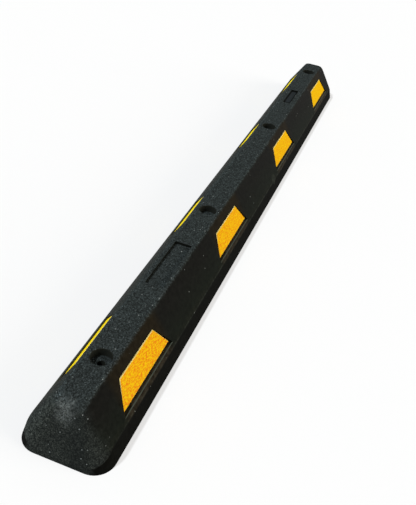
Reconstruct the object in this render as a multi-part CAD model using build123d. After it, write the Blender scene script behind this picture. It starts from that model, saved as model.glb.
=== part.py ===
from build123d import *
import math
import os

# Bar: a long rubber moulding with a flat top, sloped sides and sloped ends
length = 1650.0
width = 150.0
height = 100.0
top_width = 48.0
end_run = 32.0

# Skirt: the steep band round the foot, tall under the side slopes and low at the ends
side_draft = 14.5
end_draft = 5.0
side_lip_height = 32.0
end_lip_height = 8.0

# Rounding of the moulding, with each upper bend made of narrow flat bands
foot_corner_radius = 34.0
hip_foot_radius = 44.0
hip_top_radius = 12.0
fold_radius = 28.0
ridge_radius = 7.0
lip_radius = 6.0
bend_bands = 16

# Anchor holes: one row along the top, each a clearance hole under a counterbore
hole_count = 4
hole_end_distance = 126.0
anchor_diameter = 12.0
anchor_clearance = 0.5
counterbore_diameter = 35.0
counterbore_depth = 15.0
counterbore_rim_radius = 1.5

# Reflective strips: a row of thin trapezoid plates on each side slope
strip_count = 4
strip_end_distance = 175.0
strip_upper_length = 120.0
strip_lower_length = 173.0
strip_thickness = 1.6
strip_bevel = 1.2
strip_top_drop = 19.5

# Pockets: each follows its strip, leans in below the slope and ends on a level ledge
pocket_tilt = 3.6
pocket_margin = 1.2
ledge_rise = 6.0
ledge_rim_radius = 1.0
strip_foot_gap = 3.2

# Two bare sunk panels on the top, one between each outer pair of holes
panel_depth = 5.5
panel_corner_radius = 2.0
long_panel_length = 140.0
long_panel_width = 33.0
long_panel_shift = 28.0
short_panel_length = 105.0
short_panel_width = 20.0

# The two long sides, as signs along Y
FRONT = -1
REAR = 1

# Sizes that follow from the ones above
top_length = length - 2 * end_run
side_lip_half = width / 2 - side_lip_height * math.tan(math.radians(side_draft))
end_lip_half = length / 2 - end_lip_height * math.tan(math.radians(end_draft))
slope_lean = math.atan2(side_lip_half - top_width / 2, height - side_lip_height)
end_lean = math.atan2(end_lip_half - top_length / 2, height - end_lip_height)
strip_lean = slope_lean - math.radians(pocket_tilt)
strip_upper_height = height - strip_top_drop
ledge_height = side_lip_height + ledge_rise
strip_depth = (strip_upper_height - ledge_height - strip_foot_gap) / math.cos(strip_lean)


def spread(count, end_distance):
    """Places of an even row along the bar that stops short of each end."""
    first = -length / 2 + end_distance
    pitch = (length - 2 * end_distance) / (count - 1)
    return [first + pitch * i for i in range(count)]


def slope_reach(half_top, half_lip, lip_height, level):
    """Distance from the middle to a slope at a height, on the line from the top edge to the lip."""
    drop = (height - level) / (height - lip_height)
    return half_top + drop * (half_lip - half_top)


def side_reach(level):
    """Half the width between the side slopes at a height."""
    return slope_reach(top_width / 2, side_lip_half, side_lip_height, level)


def end_reach(level):
    """Half the length between the end slopes at a height."""
    return slope_reach(top_length / 2, end_lip_half, end_lip_height, level)


def bend_levels(radius, lean):
    """Heights along a rounded upper edge, from where its slope ends up to the top."""
    turns = [lean + (math.pi / 2 - lean) * i / bend_bands for i in range(bend_bands + 1)]
    return [height - radius + radius * math.sin(turn) for turn in turns]


def bent_reach(slope, half_top, radius, lean, level):
    """Distance from the middle to a slope whose upper edge is rounded, at a height."""
    if level <= height - radius * (1 - math.sin(lean)):
        return slope(level)
    middle = half_top - radius * math.tan((math.pi / 2 - lean) / 2)
    return middle + math.sqrt(radius**2 - (level - height + radius) ** 2)


def roof_outline(level):
    """Outline of the roof at a height, with corners that grow rounder towards the ground."""
    half_length = bent_reach(end_reach, top_length / 2, fold_radius, end_lean, level)
    half_width = bent_reach(side_reach, top_width / 2, ridge_radius, slope_lean, level)
    corner = hip_foot_radius + (hip_top_radius - hip_foot_radius) * level / height
    return Pos(0, 0, level) * RectangleRounded(2 * half_length, 2 * half_width, corner)


def sloped_roof():
    """The top and its four slopes run down to the ground, with soft folds, hips and ridges."""
    bends = bend_levels(fold_radius, end_lean) + bend_levels(ridge_radius, slope_lean)
    levels = sorted({0.0, *(round(level, 3) for level in bends)})
    return loft([roof_outline(level) for level in levels], ruled=True)


def skirt_walls():
    """The walls that stand on the foot's outline, drafted in on all sides, up to the height of the top."""
    length_lost = 2 * height * math.tan(math.radians(end_draft))
    width_lost = 2 * height * math.tan(math.radians(side_draft))
    foot = RectangleRounded(length, width, foot_corner_radius)
    upper = RectangleRounded(length - length_lost, width - width_lost, foot_corner_radius)
    return loft([foot, Pos(0, 0, height) * upper], ruled=True)


def moulded_bar():
    """The bar before its hollows: the roof cut off by the drafted walls of the skirt."""
    roof = sloped_roof()
    walls = skirt_walls()
    bar = roof & walls
    return fillet(new_edges(roof, walls, combined=bar), lip_radius)


def anchor_hole(x):
    """One anchor hole with its counterbore, as the solid that it takes out."""
    seat = height - counterbore_depth
    low = (Align.CENTER, Align.CENTER, Align.MIN)
    shank = Pos(x, 0, 0) * Cylinder(anchor_diameter / 2 + anchor_clearance, seat, align=low)
    head = Pos(x, 0, seat) * Cylinder(counterbore_diameter / 2, counterbore_depth, align=low)
    return shank + head


def counterbore_mouths(bar):
    """The round edges where the counterbores open on the top."""
    level = bar.edges().filter_by_position(Axis.Z, height, height)
    round_edges = level.filter_by(GeomType.CIRCLE)
    return round_edges.filter_by(lambda edge: math.isclose(edge.radius, counterbore_diameter / 2))


def pocket_floor(x, side):
    """Plane of a pocket's floor: local x along the bar, local y up the slope, local z outwards."""
    outward = Vector(0, side * math.cos(strip_lean), math.sin(strip_lean))
    upper_edge = Vector(x, side * side_reach(strip_upper_height), strip_upper_height)
    return Plane(
        origin=upper_edge - outward * strip_thickness,
        x_dir=(-side, 0, 0),
        z_dir=outward,
    )


def trapezoid(margin, depth):
    """Strip outline on its floor, grown by a margin and run down to a depth below its upper edge."""
    flare = (strip_lower_length - strip_upper_length) / 2 / strip_depth
    half_middle = strip_upper_length / 2 + margin * math.hypot(1, flare)
    half_upper = half_middle - flare * margin
    half_lower = half_middle + flare * depth
    outline = Polyline(
        (-half_upper, margin),
        (half_upper, margin),
        (half_lower, -depth),
        (-half_lower, -depth),
        close=True,
    )
    return make_face(outline)


def reflective_strip(x, side):
    """One thin reflective plate lying on its pocket's floor, bevelled round its outer face."""
    floor = pocket_floor(x, side)
    plate = extrude(floor * trapezoid(0, strip_depth), strip_thickness)
    outer_face = plate.faces().sort_by(Axis(floor.origin, floor.z_dir))[-1]
    return chamfer(outer_face.edges(), strip_bevel)


def strip_pocket(x, side):
    """The hollow for one strip, open to the side and cut level at its ledge."""
    hollow = extrude(pocket_floor(x, side) * trapezoid(pocket_margin, height), width)
    low = (Align.CENTER, Align.CENTER, Align.MIN)
    above_ledge = Pos(0, 0, ledge_height) * Box(2 * length, 4 * width, 2 * height, align=low)
    return hollow & above_ledge


def ledge_rims(bar):
    """The long edges where the pockets' ledges meet the slopes."""
    level = bar.edges().filter_by_position(Axis.Z, ledge_height, ledge_height)
    reach = side_reach(ledge_height)
    return level.filter_by(lambda edge: math.isclose(abs(edge.center().Y), reach, rel_tol=1e-6))


def panel_recess(x, panel_length, panel_width):
    """The shallow hollow of a bare panel on the top."""
    outline = RectangleRounded(panel_length, panel_width, panel_corner_radius)
    return extrude(Pos(x, 0, height - panel_depth) * outline, panel_depth)


hole_places = spread(hole_count, hole_end_distance)
strip_places = spread(strip_count, strip_end_distance)
long_panel_x = (hole_places[0] + hole_places[1]) / 2 + long_panel_shift
short_panel_x = (hole_places[-2] + hole_places[-1]) / 2


def rubber_body():
    """The moulded bar with its anchor holes, bare panels and strip pockets."""
    bar = moulded_bar()
    for x in hole_places:
        bar -= anchor_hole(x)
    bar = fillet(counterbore_mouths(bar), counterbore_rim_radius)
    bar -= panel_recess(long_panel_x, long_panel_length, long_panel_width)
    bar -= panel_recess(short_panel_x, short_panel_length, short_panel_width)
    for x in strip_places:
        bar -= strip_pocket(x, FRONT)
        bar -= strip_pocket(x, REAR)
    return fillet(ledge_rims(bar), ledge_rim_radius)


os.makedirs("parts", exist_ok=True)
export_step(rubber_body(), "parts/rubber_body.step")
for number, place in enumerate(strip_places, start=1):
    export_step(reflective_strip(place, FRONT), f"parts/front_reflector_{number}.step")
    export_step(reflective_strip(place, REAR), f"parts/rear_reflector_{number}.step")
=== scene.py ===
import math

import bpy
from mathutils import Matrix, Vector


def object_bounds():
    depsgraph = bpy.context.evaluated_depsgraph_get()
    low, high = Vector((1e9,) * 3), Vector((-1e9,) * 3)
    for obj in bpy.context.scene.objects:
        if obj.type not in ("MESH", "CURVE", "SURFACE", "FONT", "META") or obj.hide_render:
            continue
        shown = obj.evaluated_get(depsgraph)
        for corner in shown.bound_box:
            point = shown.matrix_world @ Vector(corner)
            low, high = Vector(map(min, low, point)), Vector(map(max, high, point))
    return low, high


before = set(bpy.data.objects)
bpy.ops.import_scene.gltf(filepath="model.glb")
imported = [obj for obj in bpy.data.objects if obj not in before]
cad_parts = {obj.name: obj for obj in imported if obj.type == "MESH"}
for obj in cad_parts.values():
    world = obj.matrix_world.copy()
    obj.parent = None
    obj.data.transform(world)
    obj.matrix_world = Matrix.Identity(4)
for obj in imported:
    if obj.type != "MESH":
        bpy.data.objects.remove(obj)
cad_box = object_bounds()


# Rubber body
# One compression moulding of tyre crumb bound with polyurethane, pressed in a closed mould.
# Its top and ends are open, scuffed crumb, and its side slopes and skirt are smoother mould skin.

def linear(hex_colour):
    """An sRGB hex colour as the linear colour that a socket takes."""
    parts = [int(hex_colour[i:i + 2], 16) / 255 for i in (1, 3, 5)]
    return [c / 12.92 if c <= 0.04045 else ((c + 0.055) / 1.055) ** 2.4 for c in parts] + [1.0]


def add(tree, kind, inputs=None, **settings):
    """Adds a shader node with its settings; an input is a value or another node's output socket."""
    node = tree.nodes.new(kind)
    for name, value in settings.items():
        setattr(node, name, value)
    for name, value in (inputs or {}).items():
        if isinstance(value, bpy.types.NodeSocket):
            tree.links.new(value, node.inputs[name])
        else:
            node.inputs[name].default_value = value
    return node


def new_material(name):
    """An empty material: its node tree and its surface shader."""
    material = bpy.data.materials.new(name)
    material.use_nodes = True
    tree = material.node_tree
    tree.nodes.clear()
    shader = add(tree, "ShaderNodeBsdfPrincipled")
    add(tree, "ShaderNodeOutputMaterial", {"Surface": shader.outputs["BSDF"]})
    return material, tree, shader


def span_along(name):
    """Where a piece of the frame starts and ends along the block."""
    places = [vertex.co.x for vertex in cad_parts[name].data.vertices]
    return min(places), max(places)


# Tyre crumb in binder: dull charcoal grains of many tones with black gaps, greyer on level faces and
# warmer and darker on steep ones, partly dust and partly painted light and shade, pale at the folds from
# scuffs and painted sheen, with stray pale crumbs
mm = 0.001
steep_facing = 0.35
level_facing = 0.9
crumb, tree, shader = new_material("bonded_tyre_crumb")
place = add(tree, "ShaderNodeTexCoord")
spot = place.outputs["Object"]
where = add(tree, "ShaderNodeSeparateXYZ", {"Vector": spot})
facing = add(tree, "ShaderNodeSeparateXYZ", {"Vector": place.outputs["Normal"]})
along = add(tree, "ShaderNodeMath", {0: where.outputs["X"]}, operation="ABSOLUTE")
across = add(tree, "ShaderNodeMath", {0: where.outputs["Y"]}, operation="ABSOLUTE")
sidelong = add(tree, "ShaderNodeMath", {0: facing.outputs["Y"]}, operation="ABSOLUTE")
level = add(tree, "ShaderNodeMapRange",
            {"Value": facing.outputs["Z"], "From Min": steep_facing, "From Max": level_facing},
            interpolation_type="SMOOTHSTEP")

# Grains, their gaps, the fine grit on them, clumps of grains and the slow change of tone
crumb_size = 1.7 * mm
tear_size = 2 * crumb_size
tear_reach = 0.7 * crumb_size
fine_size = 1.2 * mm
clump_size = 8 * mm
mottle_size = 50 * mm
tears = add(tree, "ShaderNodeTexNoise", {"Vector": spot, "Scale": 1 / tear_size, "Detail": 2.0})
pull = add(tree, "ShaderNodeVectorMath", {0: tears.outputs["Color"], 1: (tear_reach,) * 3},
           operation="MULTIPLY")
torn = add(tree, "ShaderNodeVectorMath", {0: spot, 1: pull.outputs[0]}, operation="ADD")
grains = add(tree, "ShaderNodeTexVoronoi", {"Vector": torn.outputs[0], "Scale": 1 / crumb_size})
gaps = add(tree, "ShaderNodeTexVoronoi", {"Vector": torn.outputs[0], "Scale": 1 / crumb_size},
           feature="DISTANCE_TO_EDGE")
fines = add(tree, "ShaderNodeTexNoise",
            {"Vector": spot, "Scale": 1 / fine_size, "Detail": 3.0, "Roughness": 0.7})
clumps = add(tree, "ShaderNodeTexNoise",
             {"Vector": spot, "Scale": 1 / clump_size, "Detail": 3.0, "Roughness": 0.6})
mottle = add(tree, "ShaderNodeTexNoise",
             {"Vector": spot, "Scale": 1 / mottle_size, "Detail": 5.0, "Roughness": 0.6})

# Where crumb lies open over the top: from its front edge to some way past its rear edge, where the paler
# crumb on the rear slope is partly painted sheen
noise_low = 0.25
noise_high = 0.75
edge_wander = 2 * mm
front_edge = -24 * mm
front_fade = 3 * mm
rear_edge = 46 * mm
rear_fade = 6 * mm
ragged = add(tree, "ShaderNodeMapRange",
             {"Value": clumps.outputs["Fac"], "From Min": noise_low, "From Max": noise_high,
              "To Min": -edge_wander, "To Max": edge_wander})
ragged = add(tree, "ShaderNodeMath", {0: ragged.outputs[0], 1: where.outputs["Y"]}, operation="ADD")
behind = add(tree, "ShaderNodeMapRange",
             {"Value": ragged.outputs[0], "From Min": front_edge - front_fade,
              "From Max": front_edge + front_fade},
             interpolation_type="SMOOTHSTEP")
before = add(tree, "ShaderNodeMapRange",
             {"Value": ragged.outputs[0], "From Min": rear_edge - rear_fade,
              "From Max": rear_edge + rear_fade, "To Min": 1.0, "To Max": 0.0},
             interpolation_type="SMOOTHSTEP")
topped = add(tree, "ShaderNodeMath", {0: behind.outputs[0], 1: before.outputs[0]}, operation="MULTIPLY")

# Where crumb lies open at both ends: as far forward as a plane close behind the front slope, which stands
# corner_offset before the middle at the ground and leans back by corner_lean as it rises
half_length = cad_box[1][0]
end_start = half_length - 42 * mm
end_full = half_length - 10 * mm
end_wander = 30 * mm
corner_lean = 0.70
corner_offset = 84.8 * mm
corner_fade = 8 * mm
far_out = add(tree, "ShaderNodeMath", {0: mottle.outputs["Fac"], 1: end_wander, 2: along.outputs[0]},
              operation="MULTIPLY_ADD")
ended = add(tree, "ShaderNodeMapRange",
            {"Value": far_out.outputs[0], "From Min": end_start, "From Max": end_full},
            interpolation_type="SMOOTHSTEP")
cornered = add(tree, "ShaderNodeMath", {0: where.outputs["Z"], 1: -corner_lean, 2: ragged.outputs[0]},
               operation="MULTIPLY_ADD")
cornered = add(tree, "ShaderNodeMapRange",
               {"Value": cornered.outputs[0], "From Min": -corner_offset - corner_fade,
                "From Max": -corner_offset + corner_fade},
               interpolation_type="SMOOTHSTEP")
end_crumb = add(tree, "ShaderNodeMath", {0: ended.outputs[0], 1: cornered.outputs[0]},
                operation="MULTIPLY")
open_crumb = add(tree, "ShaderNodeMath", {0: topped.outputs[0], 1: end_crumb.outputs[0]},
                 operation="MAXIMUM")

# The skirt, which stays smooth where it runs round the corners of the foot
skirt_limit = 60 * mm
skirt_facing = 0.26
slope_facing = 0.38
end_facing = 0.2
side_facing = 0.5
upright = add(tree, "ShaderNodeMapRange",
              {"Value": facing.outputs["Z"], "From Min": skirt_facing, "From Max": slope_facing,
               "To Min": 1.0, "To Max": 0.0})
broadside = add(tree, "ShaderNodeMapRange",
                {"Value": sidelong.outputs[0], "From Min": end_facing, "From Max": side_facing})
skirt = add(tree, "ShaderNodeMath", {0: upright.outputs[0], 1: broadside.outputs[0]},
            operation="MULTIPLY")
low = add(tree, "ShaderNodeMath", {0: where.outputs["Z"], 1: skirt_limit}, operation="LESS_THAN")
skirt = add(tree, "ShaderNodeMath", {0: skirt.outputs[0], 1: low.outputs[0]}, operation="MULTIPLY")
bare = add(tree, "ShaderNodeMath", {0: 1.0, 1: skirt.outputs[0]}, operation="SUBTRACT")
open_crumb = add(tree, "ShaderNodeMath", {0: open_crumb.outputs[0], 1: bare.outputs[0]},
                 operation="MULTIPLY")

# The walls that the mould's pins left smooth, painted dark as shade: all round the two panels, and round
# each hole except at its front, which faces the light
hollow_half_width = 22.5 * mm
hollow_half_length = half_length - 55 * mm
long_panel_middle = -438 * mm
long_panel_half = 71 * mm
short_panel_middle = 466 * mm
short_panel_half = 53.5 * mm
hole_side_facing = 0.5
hole_front_facing = 0.9
narrow = add(tree, "ShaderNodeMath", {0: across.outputs[0], 1: hollow_half_width}, operation="LESS_THAN")
in_long = add(tree, "ShaderNodeMath",
              {0: where.outputs["X"], 1: long_panel_middle, 2: long_panel_half}, operation="COMPARE")
in_short = add(tree, "ShaderNodeMath",
               {0: where.outputs["X"], 1: short_panel_middle, 2: short_panel_half}, operation="COMPARE")
panelled = add(tree, "ShaderNodeMath", {0: in_long.outputs[0], 1: in_short.outputs[0]},
               operation="MAXIMUM")
steep = add(tree, "ShaderNodeMath", {0: 1.0, 1: level.outputs[0]}, operation="SUBTRACT")
inner = add(tree, "ShaderNodeMath", {0: along.outputs[0], 1: hollow_half_length}, operation="LESS_THAN")
hole_wall = add(tree, "ShaderNodeMapRange",
                {"Value": facing.outputs["Y"], "From Min": hole_side_facing,
                 "From Max": hole_front_facing, "To Min": 1.0, "To Max": 0.0})
smoothed = add(tree, "ShaderNodeMath", {0: panelled.outputs[0], 1: hole_wall.outputs[0]},
               operation="MAXIMUM")
wall = add(tree, "ShaderNodeMath", {0: narrow.outputs[0], 1: inner.outputs[0]}, operation="MULTIPLY")
wall = add(tree, "ShaderNodeMath", {0: wall.outputs[0], 1: smoothed.outputs[0]}, operation="MULTIPLY")
wall = add(tree, "ShaderNodeMath", {0: wall.outputs[0], 1: steep.outputs[0]}, operation="MULTIPLY")
outside = add(tree, "ShaderNodeMath", {0: 1.0, 1: wall.outputs[0]}, operation="SUBTRACT")
open_crumb = add(tree, "ShaderNodeMath", {0: open_crumb.outputs[0], 1: outside.outputs[0]},
                 operation="MULTIPLY")

# The skin: black on the skirt and brown-black on the slopes, partly their own dark tone and partly painted
# shade, and the slopes are painted a little lighter low down to offset darker shading there
lip_height = 32 * mm
lip_fade = 4 * mm
tone_wander = 20 * mm
low_tone_height = 48 * mm
high_tone_height = 92 * mm
skirt_black = linear("#0D0E0C")
slope_high = linear("#141514")
slope_low = linear("#141915")
over_lip = add(tree, "ShaderNodeMapRange",
               {"Value": where.outputs["Z"], "From Min": lip_height - lip_fade, "From Max": lip_height})
lifted_low = add(tree, "ShaderNodeMath", {0: mottle.outputs["Fac"], 1: tone_wander, 2: where.outputs["Z"]},
              operation="MULTIPLY_ADD")
lifted_low = add(tree, "ShaderNodeMapRange",
              {"Value": lifted_low.outputs[0], "From Min": low_tone_height, "From Max": high_tone_height,
               "To Min": 1.0, "To Max": 0.0})
skin = add(tree, "ShaderNodeMix", {0: lifted_low.outputs[0], 6: slope_high, 7: slope_low}, data_type="RGBA")

# Stains, dust and painted yellow light on the skin: browner round each strip and paler brown in patches
# under its ledge, partly painted reflection of the strips, and cloudy all over
first_start, first_end = span_along("front_reflector_1")
strip_half_length = (first_end - first_start) / 2
first_strip = (first_start + first_end) / 2
strip_pitch = span_along("front_reflector_2")[0] - first_start
tint_inside = 15 * mm
tint_outside = 5 * mm
tint_elsewhere = 0.1
ledge_height = 38 * mm
ledge_fade = 2 * mm
patch_start = 0.3
patch_full = 0.6
cloud_dark = 0.65
cloud_light = 1.35
stain_and_bounce_brown = linear("#1E1A12")
dust_and_bounce_brown = linear("#2C2820")
from_first = add(tree, "ShaderNodeMath", {0: where.outputs["X"], 1: first_strip}, operation="SUBTRACT")
from_strip = add(tree, "ShaderNodeMath", {0: from_first.outputs[0], 1: strip_pitch / 2},
                 operation="PINGPONG")
by_strip = add(tree, "ShaderNodeMapRange",
               {"Value": from_strip.outputs[0], "From Min": strip_half_length - tint_inside,
                "From Max": strip_half_length + tint_outside, "To Min": 1.0, "To Max": tint_elsewhere})
skin = add(tree, "ShaderNodeMix", {0: by_strip.outputs[0], 6: skin.outputs[2], 7: stain_and_bounce_brown},
           data_type="RGBA")
under_ledge = add(tree, "ShaderNodeMapRange",
                  {"Value": where.outputs["Z"], "From Min": ledge_height,
                   "From Max": ledge_height + ledge_fade, "To Min": 1.0, "To Max": 0.0})
clump_patches = add(tree, "ShaderNodeMapRange",
                   {"Value": clumps.outputs["Fac"], "From Min": patch_start, "From Max": patch_full})
dust_and_bounce = add(tree, "ShaderNodeMath", {0: clump_patches.outputs[0], 1: under_ledge.outputs[0]},
            operation="MULTIPLY")
dust_and_bounce = add(tree, "ShaderNodeMath", {0: dust_and_bounce.outputs[0], 1: by_strip.outputs[0]}, operation="MULTIPLY")
skin = add(tree, "ShaderNodeMix", {0: dust_and_bounce.outputs[0], 6: skin.outputs[2], 7: dust_and_bounce_brown},
           data_type="RGBA")
skin = add(tree, "ShaderNodeMix", {0: over_lip.outputs[0], 6: skirt_black, 7: skin.outputs[2]},
           data_type="RGBA")
cloudy = add(tree, "ShaderNodeMapRange",
             {"Value": clumps.outputs["Fac"], "From Min": noise_low, "From Max": noise_high,
              "To Min": cloud_dark, "To Max": cloud_light})
skin = add(tree, "ShaderNodeMix", {0: 1.0, 6: skin.outputs[2], 7: cloudy.outputs[0]}, data_type="RGBA",
           blend_type="MULTIPLY")

# Edges rubbed pale and painted with highlight where they catch the light: a thin line on the pockets'
# rims, a broken one along the lip and a grazed patch on it
rim_wear_and_highlight = linear("#3E433C")
rim_height = ledge_height - 0.3 * mm
rim_core = 0.48 * mm
rim_band = 0.8 * mm
rim_half_width = 61.5 * mm
rim_slope_facing = 0.58
rim_turned_facing = 0.7
lip_band = 1.6 * mm
lip_break_start = 0.4
lip_break_full = 0.65
lip_share = 0.45
graze_place = (88 * mm, -65.5 * mm, 33.5 * mm)
graze_core = 6 * mm
graze_reach = 15 * mm
graze_share = 0.6
off_rim = add(tree, "ShaderNodeMath", {0: where.outputs["Z"], 1: rim_height}, operation="SUBTRACT")
off_rim = add(tree, "ShaderNodeMath", {0: off_rim.outputs[0]}, operation="ABSOLUTE")
on_rim = add(tree, "ShaderNodeMapRange",
             {"Value": off_rim.outputs[0], "From Min": rim_core, "From Max": rim_band,
              "To Min": 1.0, "To Max": 0.0})
wide = add(tree, "ShaderNodeMath", {0: across.outputs[0], 1: rim_half_width}, operation="GREATER_THAN")
on_rim = add(tree, "ShaderNodeMath", {0: on_rim.outputs[0], 1: wide.outputs[0]}, operation="MULTIPLY")
turned = add(tree, "ShaderNodeMapRange",
             {"Value": facing.outputs["Z"], "From Min": rim_slope_facing, "From Max": rim_turned_facing})
on_rim = add(tree, "ShaderNodeMath", {0: on_rim.outputs[0], 1: turned.outputs[0]}, operation="MULTIPLY")
off_lip = add(tree, "ShaderNodeMath", {0: where.outputs["Z"], 1: lip_height}, operation="SUBTRACT")
off_lip = add(tree, "ShaderNodeMath", {0: off_lip.outputs[0]}, operation="ABSOLUTE")
on_lip = add(tree, "ShaderNodeMapRange",
             {"Value": off_lip.outputs[0], "From Max": lip_band, "To Min": 1.0, "To Max": 0.0},
             interpolation_type="SMOOTHSTEP")
broken = add(tree, "ShaderNodeMapRange",
             {"Value": clumps.outputs["Fac"], "From Min": lip_break_start, "From Max": lip_break_full,
              "To Max": lip_share})
on_lip = add(tree, "ShaderNodeMath", {0: on_lip.outputs[0], 1: broken.outputs[0]}, operation="MULTIPLY")
rubbed_and_highlit = add(tree, "ShaderNodeMath", {0: on_rim.outputs[0], 1: on_lip.outputs[0]}, operation="MAXIMUM")
from_graze = add(tree, "ShaderNodeVectorMath", {0: spot, 1: graze_place}, operation="DISTANCE")
grazed = add(tree, "ShaderNodeMapRange",
             {"Value": from_graze.outputs["Value"], "From Min": graze_core, "From Max": graze_reach,
              "To Min": graze_share, "To Max": 0.0})
grazed = add(tree, "ShaderNodeMath", {0: grazed.outputs[0], 1: clump_patches.outputs[0]},
             operation="MULTIPLY")
rubbed_and_highlit = add(tree, "ShaderNodeMath", {0: rubbed_and_highlit.outputs[0], 1: grazed.outputs[0]}, operation="MAXIMUM")
skin = add(tree, "ShaderNodeMix", {0: rubbed_and_highlit.outputs[0], 6: skin.outputs[2], 7: rim_wear_and_highlight},
           data_type="RGBA")

# The open crumb's tones: most grains dark and a few light, all of them lighter on rounded ridges, and at
# the ends painted darker towards the front and lighter towards the rear, as shade and light
tone_power = 1.4
fleck_start = 0.92
fleck_full = 0.98
patch_dark = 0.85
patch_light = 1.15
top_facing = 0.05
ridge_facing = 0.35
ridge_gain = 1.5
end_front = -25 * mm
end_rear = 10 * mm
end_front_change = -0.4
end_rear_change = 0.12
kinds = add(tree, "ShaderNodeSeparateColor", {"Color": grains.outputs["Color"]})
tone = add(tree, "ShaderNodeMath", {0: kinds.outputs["Red"], 1: tone_power}, operation="POWER")
fleck = add(tree, "ShaderNodeMapRange",
            {"Value": kinds.outputs["Green"], "From Min": fleck_start, "From Max": fleck_full})
tone = add(tree, "ShaderNodeMath", {0: tone.outputs[0], 1: fleck.outputs[0]}, operation="ADD")
patch = add(tree, "ShaderNodeMapRange",
            {"Value": clumps.outputs["Fac"], "From Min": noise_low, "From Max": noise_high,
             "To Min": patch_dark, "To Max": patch_light})
tone = add(tree, "ShaderNodeMath", {0: tone.outputs[0], 1: patch.outputs[0]}, operation="MULTIPLY")
edged = add(tree, "ShaderNodeMapRange",
            {"Value": sidelong.outputs[0], "From Min": top_facing, "From Max": ridge_facing,
             "To Min": 1.0, "To Max": ridge_gain})
tone = add(tree, "ShaderNodeMath", {0: tone.outputs[0], 1: edged.outputs[0]}, operation="MULTIPLY")
end_light_and_shade = add(tree, "ShaderNodeMapRange",
            {"Value": where.outputs["Y"], "From Min": end_front, "From Max": end_rear,
             "To Min": end_front_change, "To Max": end_rear_change})
end_light_and_shade = add(tree, "ShaderNodeMath", {0: end_light_and_shade.outputs[0], 1: ended.outputs[0], 2: 1.0},
            operation="MULTIPLY_ADD")
tone = add(tree, "ShaderNodeMath", {0: tone.outputs[0], 1: end_light_and_shade.outputs[0]}, operation="MULTIPLY")

# The open crumb's colours: greyer on level faces, partly dust and partly painted light, and black in the
# gaps, whose sizes are shares of a grain
grain_dark = linear("#1D201F")
grain_light_level = linear("#3F4646")
grain_light_steep = linear("#3C403C")
gap_black_and_groove_shade = linear("#0E100F")
gap_core = 0.02
gap_edge = 0.15
gap_share = 0.5
light = add(tree, "ShaderNodeMix", {0: level.outputs[0], 6: grain_light_steep, 7: grain_light_level},
            data_type="RGBA")
grit = add(tree, "ShaderNodeMix", {0: tone.outputs[0], 6: grain_dark, 7: light.outputs[2]},
           data_type="RGBA", clamp_factor=False)
sunk = add(tree, "ShaderNodeMapRange",
           {"Value": gaps.outputs["Distance"], "From Min": gap_core, "From Max": gap_edge,
            "To Min": gap_share, "To Max": 0.0})
grit = add(tree, "ShaderNodeMix", {0: sunk.outputs[0], 6: grit.outputs[2], 7: gap_black_and_groove_shade},
           data_type="RGBA")

# Scuffed patches with painted sheen, where wheels and handling rub the fold at each end and it catches the
# light: the middle and strength of each
scuff_sheen_spots = (((795 * mm, 4 * mm, 88 * mm), 0.30),
          ((801 * mm, 3 * mm, 74 * mm), 0.32))
scuff_core = 12 * mm
scuff_fade = 25 * mm
scuff_wander = 30 * mm
scuff_sheen_pale = linear("#A0A7A5")
folded = add(tree, "ShaderNodeCombineXYZ",
             {"X": along.outputs[0], "Y": where.outputs["Y"], "Z": where.outputs["Z"]})
for middle, strength in scuff_sheen_spots:
    from_scuff = add(tree, "ShaderNodeVectorMath", {0: folded.outputs[0], 1: middle},
                     operation="DISTANCE")
    scuff_sheen = add(tree, "ShaderNodeMath",
                {0: clumps.outputs["Fac"], 1: scuff_wander, 2: from_scuff.outputs["Value"]},
                operation="MULTIPLY_ADD")
    scuff_sheen = add(tree, "ShaderNodeMapRange",
                {"Value": scuff_sheen.outputs[0], "From Min": scuff_core, "From Max": scuff_core + scuff_fade,
                 "To Min": strength, "To Max": 0.0},
                interpolation_type="SMOOTHSTEP")
    scuff_sheen = add(tree, "ShaderNodeMath", {0: scuff_sheen.outputs[0], 1: kinds.outputs["Blue"]},
                operation="MULTIPLY")
    grit = add(tree, "ShaderNodeMix", {0: scuff_sheen.outputs[0], 6: grit.outputs[2], 7: scuff_sheen_pale},
               data_type="RGBA")
colour = add(tree, "ShaderNodeMix", {0: open_crumb.outputs[0], 6: skin.outputs[2], 7: grit.outputs[2]},
             data_type="RGBA")

# Stray pale crumbs: most grey and some nearly white, few on the skin and none on the smooth walls. One
# shows where its own random number clears the bar
speck_spacing = 9.5 * mm
speck_core = 0.665 * mm
speck_reach = 1.33 * mm
skin_bar = 0.92
crumb_bar = 0.62
end_bar_change = -0.25
white_start = 0.9
white_full = 0.97
speck_grey = linear("#7C8280")
speck_white = linear("#D5D8D6")
specks = add(tree, "ShaderNodeTexVoronoi", {"Vector": spot, "Scale": 1 / speck_spacing})
small = add(tree, "ShaderNodeMapRange",
            {"Value": specks.outputs["Distance"], "From Min": speck_core / speck_spacing,
             "From Max": speck_reach / speck_spacing, "To Min": 1.0, "To Max": 0.0})
pick = add(tree, "ShaderNodeSeparateColor", {"Color": specks.outputs["Color"]})
bar = add(tree, "ShaderNodeMapRange",
          {"Value": open_crumb.outputs[0], "To Min": skin_bar, "To Max": crumb_bar})
bar = add(tree, "ShaderNodeMath", {0: end_crumb.outputs[0], 1: end_bar_change, 2: bar.outputs[0]},
          operation="MULTIPLY_ADD")
rare = add(tree, "ShaderNodeMath", {0: pick.outputs["Green"], 1: bar.outputs[0]},
           operation="GREATER_THAN")
bright = add(tree, "ShaderNodeMapRange",
             {"Value": pick.outputs["Blue"], "From Min": white_start, "From Max": white_full})
speck = add(tree, "ShaderNodeMix", {0: bright.outputs[0], 6: speck_grey, 7: speck_white},
            data_type="RGBA")
pale = add(tree, "ShaderNodeMath", {0: small.outputs[0], 1: rare.outputs[0]}, operation="MULTIPLY")
colour = add(tree, "ShaderNodeMix", {0: pale.outputs[0], 6: colour.outputs[2], 7: speck.outputs[2]},
             data_type="RGBA")
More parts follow.
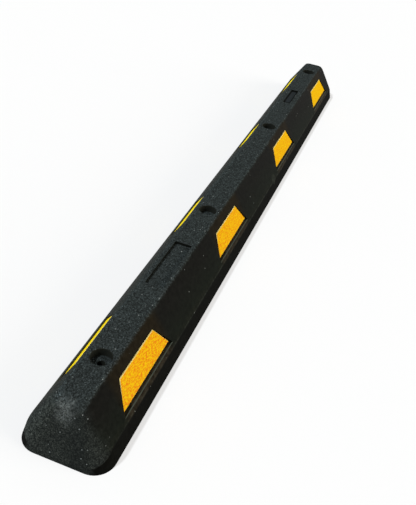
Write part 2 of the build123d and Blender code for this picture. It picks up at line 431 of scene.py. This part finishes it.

# The hollows: painted shade, dark on the smooth walls and on the smooth floor of the short panel
hole_wall_shade = linear("#252723")
panel_wall_shade = linear("#171815")
panel_floor_shade = linear("#282C2D")
sunk_height = 98.5 * mm
wall_shade = add(tree, "ShaderNodeMix", {0: panelled.outputs[0], 6: hole_wall_shade, 7: panel_wall_shade},
                 data_type="RGBA")
colour = add(tree, "ShaderNodeMix", {0: wall.outputs[0], 6: colour.outputs[2], 7: wall_shade.outputs[2]},
             data_type="RGBA")
sunken = add(tree, "ShaderNodeMath", {0: where.outputs["Z"], 1: sunk_height}, operation="LESS_THAN")
sunken = add(tree, "ShaderNodeMath", {0: sunken.outputs[0], 1: in_short.outputs[0]},
             operation="MULTIPLY")
sunken = add(tree, "ShaderNodeMath", {0: sunken.outputs[0], 1: level.outputs[0]}, operation="MULTIPLY")
sunken = add(tree, "ShaderNodeMath", {0: sunken.outputs[0], 1: narrow.outputs[0]}, operation="MULTIPLY")
colour = add(tree, "ShaderNodeMix", {0: sunken.outputs[0], 6: colour.outputs[2], 7: panel_floor_shade},
             data_type="RGBA")

# The seam of the mould's insert, painted as the shade in its groove: a black line along the front of the
# short panel's floor, and one across the floor towards its near end
seam_front = -5 * mm
seam_near = 430.5 * mm
seam_half_width = 2.5 * mm
groove_shade = add(tree, "ShaderNodeMath", {0: where.outputs["Y"], 1: seam_front}, operation="LESS_THAN")
near_seam = add(tree, "ShaderNodeMath", {0: where.outputs["X"], 1: seam_near, 2: seam_half_width},
                operation="COMPARE")
groove_shade = add(tree, "ShaderNodeMath", {0: groove_shade.outputs[0], 1: near_seam.outputs[0]}, operation="MAXIMUM")
groove_shade = add(tree, "ShaderNodeMath", {0: groove_shade.outputs[0], 1: sunken.outputs[0]}, operation="MULTIPLY")
colour = add(tree, "ShaderNodeMix", {0: groove_shade.outputs[0], 6: colour.outputs[2], 7: gap_black_and_groove_shade},
             data_type="RGBA")

# Relief and sheen: domed grains with fine grit on them where crumb lies open, and nearly smooth skin
grain_relief = 0.4 * mm
dome_edge = 0.35
fine_share = 0.5
skin_bump = 0.08
crumb_bump = 0.6
skirt_roughness = 0.75
slope_roughness = 0.55
crumb_roughness = 0.9
skin_rough = add(tree, "ShaderNodeMapRange",
                 {"Value": over_lip.outputs[0], "To Min": skirt_roughness, "To Max": slope_roughness})
rough = add(tree, "ShaderNodeMapRange",
            {"Value": open_crumb.outputs[0], "To Min": skin_rough.outputs[0], "To Max": crumb_roughness})
dome = add(tree, "ShaderNodeMapRange", {"Value": gaps.outputs["Distance"], "From Max": dome_edge})
relief = add(tree, "ShaderNodeMath", {0: fines.outputs["Fac"], 1: fine_share, 2: dome.outputs[0]},
             operation="MULTIPLY_ADD")
bumpy = add(tree, "ShaderNodeMapRange",
            {"Value": open_crumb.outputs[0], "To Min": skin_bump, "To Max": crumb_bump})
bump = add(tree, "ShaderNodeBump",
           {"Strength": bumpy.outputs[0], "Distance": grain_relief, "Height": relief.outputs[0]})
tree.links.new(colour.outputs[2], shader.inputs["Base Color"])
tree.links.new(rough.outputs[0], shader.inputs["Roughness"])
tree.links.new(bump.outputs[0], shader.inputs["Normal"])
shader.inputs["Specular IOR Level"].default_value = 0.012
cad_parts["rubber_body"].data.materials.clear()
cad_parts["rubber_body"].data.materials.append(crumb)


# Reflective strips
# Thin plastic plates faced with yellow glass-bead sheet, bonded in the pockets of both slopes.
# The sheet has a fine orange and yellow streak, and the cut edges of its clear cover show paler, partly as
# painted highlight.

# Glass-bead sheet: a deep yellow with orange streaks along its length, plainer and yellower towards the
# far end, and painted lighter, to lemon, on the rear side, where more light falls
streak_width = 1.2 * mm
streak_length = 5 * mm
streak_orange = 0.382
streak_yellow = 0.555
last_start, last_end = span_along("front_reflector_4")
last_strip = (last_start + last_end) / 2
far_plainness = 0.6
plain_shade = 0.64
near_shade_change = -0.22
sheet, tree, shader = new_material("yellow_glass_bead_sheet")
place = add(tree, "ShaderNodeTexCoord")
where = add(tree, "ShaderNodeSeparateXYZ", {"Vector": place.outputs["Object"]})
run = add(tree, "ShaderNodeVectorMath",
          {0: place.outputs["Object"], 1: (1 / streak_length, 1 / streak_width, 1 / streak_width)},
          operation="MULTIPLY")
streaks = add(tree, "ShaderNodeTexNoise",
              {"Vector": run.outputs[0], "Scale": 1.0, "Detail": 2.0, "Roughness": 0.6})
shade = add(tree, "ShaderNodeMapRange",
            {"Value": streaks.outputs["Fac"], "From Min": streak_orange, "From Max": streak_yellow})
plainer = add(tree, "ShaderNodeMapRange",
              {"Value": where.outputs["X"], "From Min": first_strip, "From Max": last_strip,
               "To Max": far_plainness})
shade = add(tree, "ShaderNodeMix", {0: plainer.outputs[0], 2: shade.outputs[0], 3: plain_shade})
deeper = add(tree, "ShaderNodeMapRange",
             {"Value": where.outputs["X"], "From Min": first_strip, "From Max": last_strip,
              "To Min": near_shade_change, "To Max": 0.0})
shade = add(tree, "ShaderNodeMath", {0: shade.outputs[0], 1: deeper.outputs[0]}, operation="ADD",
            use_clamp=True)
front_orange = linear("#E87F1B")
front_yellow = linear("#F6D914")
rear_lit_orange = linear("#FFCC1C")
rear_lit_yellow = linear("#FFF41E")
rear = add(tree, "ShaderNodeMath", {0: where.outputs["Y"], 1: 0.0}, operation="GREATER_THAN")
orange = add(tree, "ShaderNodeMix", {0: rear.outputs[0], 6: front_orange, 7: rear_lit_orange},
             data_type="RGBA")
yellow = add(tree, "ShaderNodeMix", {0: rear.outputs[0], 6: front_yellow, 7: rear_lit_yellow},
             data_type="RGBA")
colour = add(tree, "ShaderNodeMix", {0: shade.outputs[0], 6: orange.outputs[2], 7: yellow.outputs[2]},
             data_type="RGBA")

# The pale cut edges, partly painted highlight: the bevels, which turn away from the plates' flat faces
strip_lean = math.radians(28.6)
bevel_facing = 0.8
flat_facing = 0.95
edge_yellow_highlight = linear("#FDEE9E")
facing = add(tree, "ShaderNodeSeparateXYZ", {"Vector": place.outputs["Normal"]})
sideways = add(tree, "ShaderNodeMath", {0: facing.outputs["Y"]}, operation="ABSOLUTE")
sideways = add(tree, "ShaderNodeMath", {0: sideways.outputs[0], 1: math.cos(strip_lean)},
               operation="MULTIPLY")
flat = add(tree, "ShaderNodeMath",
           {0: facing.outputs["Z"], 1: math.sin(strip_lean), 2: sideways.outputs[0]},
           operation="MULTIPLY_ADD")
edge = add(tree, "ShaderNodeMapRange",
           {"Value": flat.outputs[0], "From Min": bevel_facing, "From Max": flat_facing,
            "To Min": 1.0, "To Max": 0.0})
colour = add(tree, "ShaderNodeMix", {0: edge.outputs[0], 6: colour.outputs[2], 7: edge_yellow_highlight},
             data_type="RGBA")

streak_relief = 0.2 * mm
bump = add(tree, "ShaderNodeBump",
           {"Strength": 0.15, "Distance": streak_relief, "Height": streaks.outputs["Fac"]})
tree.links.new(colour.outputs[2], shader.inputs["Base Color"])
tree.links.new(bump.outputs[0], shader.inputs["Normal"])
shader.inputs["Roughness"].default_value = 0.6
shader.inputs["Specular IOR Level"].default_value = 0.0
for name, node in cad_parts.items():
    if "reflector" in name:
        node.data.materials.clear()
        node.data.materials.append(sheet)


# Studio floor
# A wide sheet of matt white paper, laid flat with the block standing loose on it.
# It looks nearly white and keeps a faint shadow.

def seen_directly(tree):
    """Whether a ray comes from the eye, a reflection or a clear piece, and doesn't carry bounced light."""
    ray = add(tree, "ShaderNodeLightPath")
    direct = add(tree, "ShaderNodeMath",
                 {0: ray.outputs["Is Camera Ray"], 1: ray.outputs["Is Glossy Ray"]}, operation="MAXIMUM")
    direct = add(tree, "ShaderNodeMath",
                 {0: direct.outputs[0], 1: ray.outputs["Is Transmission Ray"]}, operation="MAXIMUM")
    return direct.outputs[0]


# Matt paper: white to the eye and in reflections, and darker as a source of bounced light
floor_size = 14.0
glow_share = 0.62
bpy.ops.object.select_all(action="DESELECT")
bpy.ops.mesh.primitive_plane_add(size=floor_size, location=(0, 0, 0))
floor = bpy.context.object
floor.name = "studio_floor"
paper, tree, shader = new_material("matt_backdrop_paper")
tree.nodes.remove(shader)
bounced = add(tree, "ShaderNodeBsdfDiffuse", {"Color": linear("#A8A8A8")})
lit = add(tree, "ShaderNodeBsdfDiffuse", {"Color": linear("#EAEAEA")})
glow = add(tree, "ShaderNodeEmission", {"Color": linear("#FFFFFF"), "Strength": 1.0})
seen = add(tree, "ShaderNodeMixShader", {0: glow_share, 1: lit.outputs[0], 2: glow.outputs[0]})
surface = add(tree, "ShaderNodeMixShader",
              {0: seen_directly(tree), 1: bounced.outputs[0], 2: seen.outputs[0]})
tree.links.new(surface.outputs[0], tree.nodes["Material Output"].inputs["Surface"])
floor.data.materials.append(paper)


# Studio light and camera
# A nearly hard, cool light from above, behind and the near end, and a broad, warm one on the camera's
# side. The room looks white to the eye and in reflections and gives less light than that.

def distant_light(name, direction, spread, level, colour):
    """A light from far away; at level 1 a colour that faces it renders as it is written."""
    data = bpy.data.lights.new(name, "SUN")
    data.angle = math.radians(spread)
    data.energy = math.pi * level
    data.color = linear(colour)[:3]
    obj = bpy.data.objects.new(name, data)
    bpy.context.scene.collection.objects.link(obj)
    obj.location = direction
    obj.rotation_mode = "QUATERNION"
    obj.rotation_quaternion = obj.location.to_track_quat("Z", "Y")


distant_light("key_light", direction=(-0.38, 0.42, 0.82), spread=5.0, level=0.90, colour="#F6FBFF")
distant_light("fill_light", direction=(0.1, -0.94, 0.33), spread=40.0, level=0.70, colour="#FFF4E2")
room_level = 0.27
world = bpy.data.worlds.new("pale_room")
world.use_nodes = True
tree = world.node_tree
tree.nodes.clear()
dim = add(tree, "ShaderNodeBackground", {"Color": linear("#FFFFFF"), "Strength": room_level})
white = add(tree, "ShaderNodeBackground", {"Color": linear("#FFFFFF"), "Strength": 1.0})
room = add(tree, "ShaderNodeMixShader", {0: seen_directly(tree), 1: dim.outputs[0], 2: white.outputs[0]})
add(tree, "ShaderNodeOutputWorld", {"Surface": room.outputs[0]})
bpy.context.scene.world = world

# The photograph's camera, fitted to the block's strips, holes, edges and outline
camera_turn = (53.308, -7.401, -70.078)
camera_data = bpy.data.cameras.new("photo_camera")
camera_data.lens = 46.61
camera_data.shift_x = -0.00292
camera_data.shift_y = 0.01501
camera = bpy.data.objects.new("photo_camera", camera_data)
camera.location = (-1.3257, -0.3008, 0.8089)
camera.rotation_euler = [math.radians(angle) for angle in camera_turn]
bpy.context.scene.collection.objects.link(camera)
bpy.context.scene.camera = camera
bpy.context.scene.view_settings.view_transform = "Standard"
